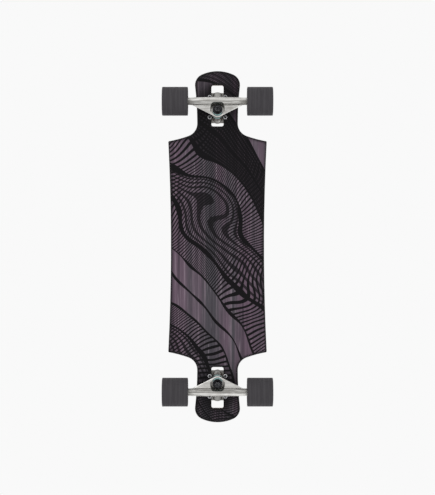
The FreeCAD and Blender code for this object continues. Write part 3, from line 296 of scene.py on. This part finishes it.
def cast_aluminium(name, bright, dull, roughness, pit_width, belt_share):
    """Gravity-cast aluminium, tumbled or left raw: a satin grey, clouded, with small pits and soft edges.

    A belt_share above 0 adds belt marks along Y, light and dark, as on a bar that was ground along its
    length, painted shade on the bar's inner half, and a painted highlight on faces that slant downwards.
    Hollows get painted shade. The real pits and marks are under 0.3 mm, and both are drawn wider so that
    they show.
    """
    hollow_reach = 0.014
    edge_round = 0.0006
    highlight_slope = 0.65
    pit_depth = 0.00018
    material, tree = new_finish(name)
    spot = add(tree, "TexCoord", {})
    point = spot["Object"]
    clouds = add(tree, "TexNoise", {"Vector": point, "Scale": per_metre(26), **CLOUDED})["Fac"]
    pits = add(tree, "TexNoise", {"Vector": point, "Scale": per_metre(pit_width), **MARKED})["Fac"]
    cloud_share = add(tree, "MapRange", [clouds, 0.3, 0.7], **SMOOTH)[0]
    colour = add(
        tree, "Mix", {SHARE: cloud_share, UNDER: linear(bright), OVER: linear(dull)}, **COLOUR)[MIXED]
    pit_share = add(tree, "MapRange", [pits, 0.55, 0.75, 0, 0.35], **SMOOTH)[0]
    colour = add(tree, "Mix", {SHARE: pit_share, UNDER: colour, OVER: linear(dull)}, **COLOUR)[MIXED]
    if belt_share:
        belt_scale = (per_metre(1.3), per_metre(130), per_metre(1.3))
        belt_place = add(tree, "VectorMath", [point, belt_scale], operation="MULTIPLY")[0]
        belt = add(tree, "TexNoise", {"Vector": belt_place, "Scale": 1, **MARKED})["Fac"]
        x, _, z = add(tree, "SeparateXYZ", [point])
        from_middle = add(tree, "Math", [x], operation="ABSOLUTE")[0]

        # The marks, and the painted shade on the bar's half towards the board's middle, are half as strong
        # on the yoke, and end at the top of the bar.
        bar_end = BAR_START + BAR_FADE
        ground = add(tree, "MapRange", [from_middle, BAR_START, bar_end, belt_share / 2, belt_share])[0]
        under_top = add(tree, "MapRange", [z, BAR_TOP, BAR_TOP + BAR_FADE, 1, 0])[0]
        on_bar = add(tree, "Math", [ground, under_top], operation="MULTIPLY")[0]
        inner = add(tree, "MapRange", [from_middle, AXLE_REACH + BAR_FADE, AXLE_REACH, 0, 1], **SMOOTH)[0]
        inner_shade_share = add(tree, "Math", [inner, on_bar], operation="MULTIPLY")[0]
        # Painted shade darkens the bar's inner half.
        colour = add(
            tree, "Mix", {SHARE: inner_shade_share, UNDER: colour, OVER: linear("#64625e")}, **COLOUR)[MIXED]

        # Faces that slant downwards, rounded edges among them, get a painted highlight, except on the bar.
        facing = add(tree, "SeparateXYZ", [spot["Normal"]])[2]
        distance_off = add(tree, "Math", [facing, highlight_slope], operation="ADD")[0]
        distance_off = add(tree, "Math", [distance_off], operation="ABSOLUTE")[0]
        downward_highlight = add(tree, "MapRange", [distance_off, 0.30, 0.15, 0, 0.8], **SMOOTH)[0]
        off_bar = add(tree, "MapRange", [from_middle, BAR_START, bar_end, 1, 0])[0]
        highlight_share = add(tree, "Math", [downward_highlight, off_bar], operation="MULTIPLY")[0]
        # A painted highlight brightens faces that slant downwards.
        colour = add(
            tree, "Mix", {SHARE: highlight_share, UNDER: colour, OVER: linear("#f2f1ee")}, **COLOUR)[MIXED]

        lights = add(tree, "MapRange", [belt, 0.46, 0.34], **SMOOTH)[0]
        light_share = add(tree, "Math", [lights, on_bar], operation="MULTIPLY")[0]
        colour = add(
            tree, "Mix", {SHARE: light_share, UNDER: colour, OVER: linear("#f1f0ec")}, **COLOUR)[MIXED]
        marks = add(tree, "MapRange", [belt, 0.44, 0.64], **SMOOTH)[0]
        mark_share = add(tree, "Math", [marks, on_bar], operation="MULTIPLY")[0]
        colour = add(
            tree, "Mix", {SHARE: mark_share, UNDER: colour, OVER: linear("#6c6a65")}, **COLOUR)[MIXED]

    # Hollows are painted darker: painted shade, where less light reaches.
    openness = add(tree, "AmbientOcclusion", {"Distance": hollow_reach}, samples=8, only_local=True)["AO"]
    hollow_shade_share = add(tree, "MapRange", [openness, 0.78, 0.35, 0, 0.85], **SMOOTH)[0]
    colour = add(tree, "Mix", {SHARE: hollow_shade_share, UNDER: colour, OVER: linear("#33322f")}, **COLOUR)[MIXED]
    polish = add(tree, "MapRange", [clouds, 0.3, 0.7, roughness * 0.85, roughness * 1.2])[0]
    edges = add(tree, "Bevel", {"Radius": edge_round}, samples=4)[0]
    normal = add(
        tree, "Bump", {"Height": pits, "Strength": 0.3, "Distance": pit_depth, "Normal": edges})[0]
    surface = add(tree, "BsdfPrincipled", {
        "Base Color": colour, "Metallic": 1, "Roughness": polish, "Normal": normal})
    add(tree, "OutputMaterial", {"Surface": surface["BSDF"]})
    return material


def turned_steel(name, bright, dull, worn_and_glint, roughness):
    """Turned steel, plated, blackened or ground: smooth, lightly clouded, worn bright on edges, which also
    stand as painted glints.
    """
    edge_round = 0.0004
    speck_depth = 0.00005
    material, tree = new_finish(name)
    point = add(tree, "TexCoord", {})["Object"]
    clouds = add(tree, "TexNoise", {"Vector": point, "Scale": per_metre(22), **CLOUDED})["Fac"]
    specks = add(tree, "TexNoise", {"Vector": point, "Scale": per_metre(0.6), **MARKED})["Fac"]
    cloud_share = add(tree, "MapRange", [clouds, 0.3, 0.7], **SMOOTH)[0]
    colour = add(
        tree, "Mix", {SHARE: cloud_share, UNDER: linear(bright), OVER: linear(dull)}, **COLOUR)[MIXED]
    speck_share = add(tree, "MapRange", [specks, 0.55, 0.75, 0, 0.3], **SMOOTH)[0]
    colour = add(tree, "Mix", {SHARE: speck_share, UNDER: colour, OVER: linear(dull)}, **COLOUR)[MIXED]
    # Edges are worn bright, and the bright edges also stand as painted glints.
    edges = add(tree, "Bevel", {"Radius": edge_round}, samples=4)[0]
    flat = add(tree, "NewGeometry", {})["Normal"]
    likeness = add(tree, "VectorMath", [edges, flat], operation="DOT_PRODUCT")["Value"]
    wear_and_glint_share = add(tree, "MapRange", [likeness, 0.99, 0.90, 0, 0.7], **SMOOTH)[0]
    colour = add(tree, "Mix", {SHARE: wear_and_glint_share, UNDER: colour, OVER: linear(worn_and_glint)}, **COLOUR)[MIXED]
    polish = add(tree, "MapRange", [clouds, 0.3, 0.7, roughness * 0.85, roughness * 1.2])[0]
    normal = add(
        tree, "Bump", {"Height": specks, "Strength": 0.4, "Distance": speck_depth, "Normal": edges})[0]
    surface = add(tree, "BsdfPrincipled", {
        "Base Color": colour, "Metallic": 1, "Roughness": polish, "Normal": normal})
    add(tree, "OutputMaterial", {"Surface": surface["BSDF"]})
    return material


def ground_urethane():
    """Cast polyurethane, charcoal, ground on the tread: fine matt rings round it, and smoother cast sides.

    The real grinding marks are about 0.1 mm apart. They are drawn about 2 mm wide so that they show.
    """
    tread_start = 0.0366
    tread_full = 0.0372
    grit_depth = 0.0002
    material, tree = new_finish("ground_urethane")
    point = add(tree, "TexCoord", {})["Object"]
    one_side = add(tree, "VectorMath", [point], operation="ABSOLUTE")[0]
    from_axle = add(tree, "VectorMath", [one_side, (AXLE_REACH, 0, AXLE_HEIGHT)], operation="SUBTRACT")[0]
    across = add(tree, "VectorMath", [from_axle, (1, 0, 1)], operation="MULTIPLY")[0]
    radius = add(tree, "VectorMath", [across], operation="LENGTH")["Value"]
    tread = add(tree, "MapRange", [radius, tread_start, tread_full], **SMOOTH)[0]
    clouds = add(tree, "TexNoise", {"Vector": point, "Scale": per_metre(42), **CLOUDED})["Fac"]
    ring_scale = (per_metre(70), per_metre(2.2), per_metre(70))
    ring_place = add(tree, "VectorMath", [from_axle, ring_scale], operation="MULTIPLY")[0]
    rings = add(tree, "TexNoise", {"Vector": ring_place, "Scale": 1, **MARKED})["Fac"]
    colour = add(
        tree, "Mix", {SHARE: clouds, UNDER: linear("#343235"), OVER: linear("#3d3a3e")}, **COLOUR)[MIXED]
    ground = add(tree, "MapRange", [rings, 0.32, 0.70], **SMOOTH)[0]
    ground_share = add(tree, "Math", [ground, tread], operation="MULTIPLY")[0]
    colour = add(
        tree, "Mix", {SHARE: ground_share, UNDER: colour, OVER: linear("#464447")}, **COLOUR)[MIXED]
    grit = add(tree, "TexNoise", {"Vector": point, "Scale": per_metre(0.9), **MARKED})["Fac"]
    relief = add(tree, "Math", [grit, tread], operation="MULTIPLY")[0]
    normal = add(tree, "Bump", {"Height": relief, "Strength": 0.5, "Distance": grit_depth})[0]
    roughness = add(tree, "MapRange", [tread, 0, 1, 0.46, 0.72])[0]
    surface = add(tree, "BsdfPrincipled", {
        "Base Color": colour, "Roughness": roughness, "IOR": 1.5, "Specular IOR Level": 0.25,
        "Normal": normal})
    add(tree, "OutputMaterial", {"Surface": surface["BSDF"]})
    return material


def moulded(name, light, dark, roughness, glow):
    """Moulded nylon or cast polyurethane: an even colour, slightly mottled, with soft shine and edges.

    A glow above 0 lets a little light through, as in clear-dyed urethane.
    """
    edge_round = 0.0003
    skin_depth = 0.00006
    glow_depths = (0.002, 0.003, 0.003)
    material, tree = new_finish(name)
    point = add(tree, "TexCoord", {})["Object"]
    mottle = add(tree, "TexNoise", {"Vector": point, "Scale": per_metre(14), **CLOUDED})["Fac"]
    skin = add(tree, "TexNoise", {"Vector": point, "Scale": per_metre(1.2), "Detail": 2})["Fac"]
    share = add(tree, "MapRange", [mottle, 0.3, 0.7], **SMOOTH)[0]
    colour = add(tree, "Mix", {SHARE: share, UNDER: linear(light), OVER: linear(dark)}, **COLOUR)[MIXED]
    polish = add(tree, "MapRange", [mottle, 0.3, 0.7, roughness * 0.85, roughness * 1.15])[0]
    edges = add(tree, "Bevel", {"Radius": edge_round}, samples=4)[0]
    normal = add(
        tree, "Bump", {"Height": skin, "Strength": 0.3, "Distance": skin_depth, "Normal": edges})[0]
    surface = add(tree, "BsdfPrincipled", {
        "Base Color": colour, "Roughness": polish, "IOR": 1.5, "Normal": normal,
        "Subsurface Weight": glow, "Subsurface Radius": glow_depths})
    add(tree, "OutputMaterial", {"Surface": surface["BSDF"]})
    return material


tumbled_aluminium = cast_aluminium(
    "tumbled_aluminium", "#eeedea", "#c2c0bc", roughness=0.32, pit_width=0.8, belt_share=0.65)
raw_aluminium = cast_aluminium(
    "raw_cast_aluminium", "#a2a19e", "#868582", roughness=0.44, pit_width=1.4, belt_share=0)
zinc_plate = turned_steel("zinc_plated_steel", "#cbcbcd", "#adadb1", "#dededf", roughness=0.30)
dull_zinc = turned_steel("passivated_zinc_steel", "#c2c2c5", "#8a8a8d", "#f2f2f3", roughness=0.18)
bearing_steel = turned_steel("ground_bearing_steel", "#d7d7da", "#c4c4c7", "#e2e2e4", roughness=0.22)
black_oxide = turned_steel("black_oxide_steel", "#38383b", "#222224", "#b0b0b4", roughness=0.30)
blackened_bolt = turned_steel("blackened_bolt_steel", "#454548", "#29292b", "#6a6a6d", roughness=0.40)
core_nylon = moulded("glass_filled_nylon", "#2d2d30", "#1f1f22", roughness=0.38, glow=0)
ring_nylon = moulded("black_nylon", "#2b2b2d", "#1e1e20", roughness=0.5, glow=0)
cage_nylon = moulded("natural_nylon", "#cecbc0", "#bfbcaf", roughness=0.45, glow=0)
cup_urethane = moulded("black_urethane", "#303032", "#222223", roughness=0.5, glow=0)
bushing_urethane = moulded("pale_teal_urethane", "#a2c8c7", "#8bb3b3", roughness=0.32, glow=0.15)

NODE_FINISHES = {
    "deck": stained_maple(),
    "grip_tape": silicon_carbide_grit(),
    "baseplate": raw_aluminium,
    "pivot_cup": cup_urethane,
    "kingpin": black_oxide,
    "kingpin_nut": black_oxide,
    "bushing_washers": black_oxide,
    "boardside_bushing": bushing_urethane,
    "roadside_bushing": bushing_urethane,
    "hanger": tumbled_aluminium,
    "axle": zinc_plate,
    "axle_nuts": zinc_plate,
    "speed_washers": zinc_plate,
    "bearing_spacers": zinc_plate,
    "bearing_inner_rings": bearing_steel,
    "mount_bolts": blackened_bolt,
    "mount_nuts": dull_zinc,
    "tyre": ground_urethane(),
    "wheel_core": core_nylon,
    "bearing_outer_rings": bearing_steel,
    "bearing_balls": bearing_steel,
    "bearing_cages": cage_nylon,
    "bearing_shields": bearing_steel,
}
for name, node in frame["nodes"].items():
    ending = max((key for key in NODE_FINISHES if name.endswith(key)), key=len)
    node.data.materials.clear()
    node.data.materials.append(NODE_FINISHES[ending])


# Turned pieces


def lathe(name, profile, finish, matrix, turn=math.tau, sides=72):
    """A closed turned piece from a ring of (radius, height), about an axis that matrix puts in place.

    A turn of less than the whole circle leaves a gap between two flat ends.
    """
    whole = turn == math.tau
    count = len(profile)
    stops = sides if whole else sides + 1
    points = []
    for step in range(stops):
        angle = turn * step / sides
        for radius, height in profile:
            points.append((radius * math.cos(angle), radius * math.sin(angle), height))
    faces = []
    for step in range(sides):
        here = step * count
        there = (step + 1) % stops * count
        for index in range(count):
            after = (index + 1) % count
            faces.append((here + index, there + index, there + after, here + after))
    if not whole:
        faces.append(tuple(range(count)))
        faces.append(tuple(reversed(range(sides * count, stops * count))))
    mesh = bpy.data.meshes.new(name)
    mesh.from_pydata(points, [], faces)
    mesh.shade_smooth()
    mesh.transform(matrix)
    mesh.materials.append(finish)
    piece = bpy.data.objects.new(name, mesh)
    bpy.context.scene.collection.objects.link(piece)
    return piece


def rounded(corners, radius, steps=6):
    """A closed profile with each corner rounded off."""
    profile = []
    count = len(corners)
    for index, corner in enumerate(corners):
        spot = Vector(corner)
        before = (Vector(corners[index - 1]) - spot).normalized() * radius
        after = (Vector(corners[(index + 1) % count]) - spot).normalized() * radius
        for step in range(steps + 1):
            share = step / steps
            profile.append(tuple(spot + before * (1 - share) ** 2 + after * share ** 2))
    return profile


def truck_turn(way):
    """Turns the front truck's places into those of the front or the rear truck."""
    return Matrix.Rotation(0 if way > 0 else math.pi, 4, "Z")


def kingpin_place(way):
    """From the kingpin's own axis, upwards from the middle of the bushing ring, to the CAD frame."""
    middle = Matrix.Translation((RING_REACH, 0, RING_HEIGHT))
    return truck_turn(way) @ middle @ Matrix.Rotation(-KINGPIN_LEAN, 4, "Y")


def axle_place(way, side):
    """From an axle's own axis, outwards from the middle of the truck, to the CAD frame."""
    middle = Matrix.Translation((AXLE_REACH * way, 0, AXLE_HEIGHT))
    return middle @ Matrix.Rotation(-side * math.pi / 2, 4, "X")


# Each bushing is a barrel or a cone with rounded rims, tilted along the kingpin.
BUSHING_BORE = 0.00515
BUSHING_ROUND = 0.0012
BARREL = [(0.0128, 0.003), (0.0131, 0.010), (0.0128, 0.017)]
CONE = [(0.0128, -0.003), (0.0124, -0.008), (0.0105, -0.015)]
for end, way in ENDS.items():
    place = kingpin_place(way)
    for name, side in (("boardside", BARREL), ("roadside", CONE)):
        moving = side[0][1]
        still = side[-1][1]
        corners = [(BUSHING_BORE, moving), *side, (BUSHING_BORE, still)]
        piece = lathe(f"{end}_{name}_cushion", rounded(corners, BUSHING_ROUND), bushing_urethane, place)
        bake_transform(piece)
        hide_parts(f"{end}_{name}_bushing")


# Each lock nut shows the rim of its nylon ring round the shaft, and the last threads stand beyond it.
RING_SUNK = 0.0003
RING_PROUD = 0.0002
RING_ROUND = 0.0001
SHAFT_GAP = 0.00006
THREAD_DEPTH = 0.00022
CREST_SHARES = (0.45, 0.55)
NUT_SIDES = 48


def nut_end(name, body, place, face, shaft, ring_width, pitch, count, finish):
    """The nylon ring of a lock nut and the threads beyond it, outwards from the nut's face."""
    low = face - RING_SUNK
    high = face + RING_PROUD
    inner = shaft + SHAFT_GAP
    outer = inner + ring_width
    corners = [(inner, low), (outer, low), (outer, high), (inner, high)]
    ring = lathe(f"{name}_lock_ring", rounded(corners, RING_ROUND, 3), ring_nylon, place, sides=NUT_SIDES)
    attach(ring, body)

    root = shaft - THREAD_DEPTH
    crest = shaft + THREAD_DEPTH
    profile = [(root, face)]
    for step in range(count):
        foot = face + pitch * step
        profile.append((shaft, foot))
        profile.append((crest, foot + pitch * CREST_SHARES[0]))
        profile.append((crest, foot + pitch * CREST_SHARES[1]))
    top = face + pitch * count
    profile.append((shaft, top))
    profile.append((root, top))
    thread = lathe(f"{name}_threads", profile, finish, place, sides=NUT_SIDES)
    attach(thread, body)


AXLE_PITCH = 0.00106
KINGPIN_PITCH = 0.00106
BOLT_PITCH = 0.00079
AXLE_RING_WIDTH = 0.0010
KINGPIN_RING_WIDTH = 0.0009
MOUNT_RING_WIDTH = 0.0008
turned_down = Matrix.Rotation(math.pi, 4, "X")
for end, way in ENDS.items():
    nut_end(
        f"{end}_kingpin", "board", kingpin_place(way) @ turned_down, -KINGPIN_NUT_FACE,
        KINGPIN_RADIUS, KINGPIN_RING_WIDTH, KINGPIN_PITCH, 1, black_oxide)
    for hand, side in HANDS.items():
        nut_end(
            f"{end}_{hand}_axle", f"{end}_steering", axle_place(way, side), AXLE_NUT_FACE,
            AXLE_RADIUS, AXLE_RING_WIDTH, AXLE_PITCH, 1, zinc_plate)
    for row, reach in (("tip", BOLT_SPACING / 2), ("middle", -BOLT_SPACING / 2)):
        for hand, side in HANDS.items():
            spot = Vector((AXLE_REACH - BOLT_PATTERN_BACK + reach, side * BOLT_GAUGE / 2, 0))
            bolt = truck_turn(way) @ Matrix.Translation(spot) @ turned_down
            nut_end(
                f"{end}_{row}_{hand}_bolt", "board", bolt, -MOUNT_NUT_FACE,
                BOLT_RADIUS, MOUNT_RING_WIDTH, BOLT_PITCH, 2, blackened_bolt)


# A split wire ring holds the bearing shield on each side of a wheel in its groove.
WIRE_RING_RADIUS = 0.00938
WIRE_RADIUS = 0.00018
WIRE_SIDES = 8
WIRE_TURN = math.radians(338)
WIRE_PROUD = 0.00005
shield_low, shield_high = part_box("front_left_bearing_shields")
SHIELD_FACES = {"outer": (shield_high[1], 1), "inner": (shield_low[1], -1)}
for end, way in ENDS.items():
    for hand, side in HANDS.items():
        for face, (reach, out) in SHIELD_FACES.items():
            centre = reach + out * WIRE_PROUD
            section = []
            for step in range(WIRE_SIDES):
                angle = math.tau * step / WIRE_SIDES
                across = WIRE_RADIUS * math.cos(angle)
                section.append((WIRE_RING_RADIUS + across, centre + WIRE_RADIUS * math.sin(angle)))
            name = f"{end}_{hand}_{face}_shield_wire"
            piece = lathe(name, section, bearing_steel, axle_place(way, side), turn=WIRE_TURN)
            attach(piece, f"{end}_{hand}_wheel")


# Floor, light and camera

FLOOR_REACH = 6.0
SHADE_REACH = 0.22
DEEPEST_SHADE_SHARE = 0.25
BACKGROUND_COLOUR = "#f9f9f9"
FILL_STRENGTH = 0.75


def floor():
    """A clear floor with soft shade under the board, so that what steers below its level still shows.

    It shows from above only, so that a view from below sees the board without it.
    """
    material, tree = new_finish("shaded_floor")
    openness = add(tree, "AmbientOcclusion", {"Distance": SHADE_REACH}, samples=16)["AO"]
    shade = add(tree, "MapRange", [openness, 0, 1, DEEPEST_SHADE_SHARE, 1])[0]
    back = add(tree, "NewGeometry", {})["Backfacing"]
    tint = add(tree, "Math", [shade, back], operation="MAXIMUM")[0]
    clear = add(tree, "BsdfTransparent", {"Color": tint})[0]
    add(tree, "OutputMaterial", {"Surface": clear})
    corners = [(-FLOOR_REACH, -FLOOR_REACH, 0), (FLOOR_REACH, -FLOOR_REACH, 0)]
    corners += [(FLOOR_REACH, FLOOR_REACH, 0), (-FLOOR_REACH, FLOOR_REACH, 0)]
    mesh = bpy.data.meshes.new("floor")
    mesh.from_pydata(corners, [], [(0, 1, 2, 3)])
    mesh.materials.append(material)
    made = bpy.data.objects.new("floor", mesh)
    bpy.context.scene.collection.objects.link(made)
    made.visible_shadow = False
    made.visible_diffuse = False
    made.visible_glossy = False
    made.visible_transmission = False


def studio():
    """Even light from all round, and a pale background for the camera, for shine and for clear pieces."""
    world = bpy.data.worlds.new("studio")
    bpy.context.scene.world = world
    world.use_nodes = True
    tree = world.node_tree
    tree.nodes.clear()
    path = add(tree, "LightPath", {})
    seen = add(tree, "Math", [path["Is Camera Ray"], path["Is Glossy Ray"]], operation="MAXIMUM")[0]
    seen = add(tree, "Math", [seen, path["Is Transmission Ray"]], operation="MAXIMUM")[0]
    fill = add(tree, "Background", {"Color": linear("#ffffff"), "Strength": FILL_STRENGTH})[0]
    pale = add(tree, "Background", {"Color": linear(BACKGROUND_COLOUR), "Strength": 1})[0]
    light = add(tree, "MixShader", [seen, fill, pale])[0]
    add(tree, "OutputWorld", {"Surface": light})


def lamp(name, place, aim, power, size):
    """A square soft lamp."""
    data = bpy.data.lights.new(name, "AREA")
    data.energy = power
    data.size = size
    made = bpy.data.objects.new(name, data)
    made.location = place
    made.rotation_euler = (Vector(aim) - Vector(place)).to_track_quat("-Z", "Y").to_euler()
    bpy.context.scene.collection.objects.link(made)


DECK_CENTRE = (0, 0, 0.08)
floor()
studio()
lamp("below_key", (1.5, -1.3, -1.9), DECK_CENTRE, power=12, size=1.4)
lamp("below_fill", (-1.2, 1.5, -1.9), DECK_CENTRE, power=8, size=1.6)
lamp("above_key", (0.9, -1.5, 2.2), DECK_CENTRE, power=16, size=1.6)
lamp("above_fill", (-1.4, 1.2, 1.8), DECK_CENTRE, power=9, size=1.6)

# The camera looks straight up at the middle of the deck, with the nose at the top of the picture.
FRAME_HEIGHT = 495
PIXELS_PER_METRE = 378.96
CAMERA_DISTANCE = 4.0
CAMERA_SHIFT = -0.0021
SENSOR = 36.0
camera_data = bpy.data.cameras.new("camera")
camera_data.sensor_fit = "VERTICAL"
camera_data.sensor_height = SENSOR
camera_data.lens = PIXELS_PER_METRE * SENSOR / FRAME_HEIGHT * CAMERA_DISTANCE
camera = bpy.data.objects.new("camera", camera_data)
bpy.context.scene.collection.objects.link(camera)
camera.matrix_world = Matrix((
    (0, 1, 0, CAMERA_SHIFT),
    (1, 0, 0, 0),
    (0, 0, -1, DECK_BOTTOM - CAMERA_DISTANCE),
    (0, 0, 0, 1),
))
bpy.context.scene.camera = camera
bpy.context.scene.view_settings.view_transform = "Standard"
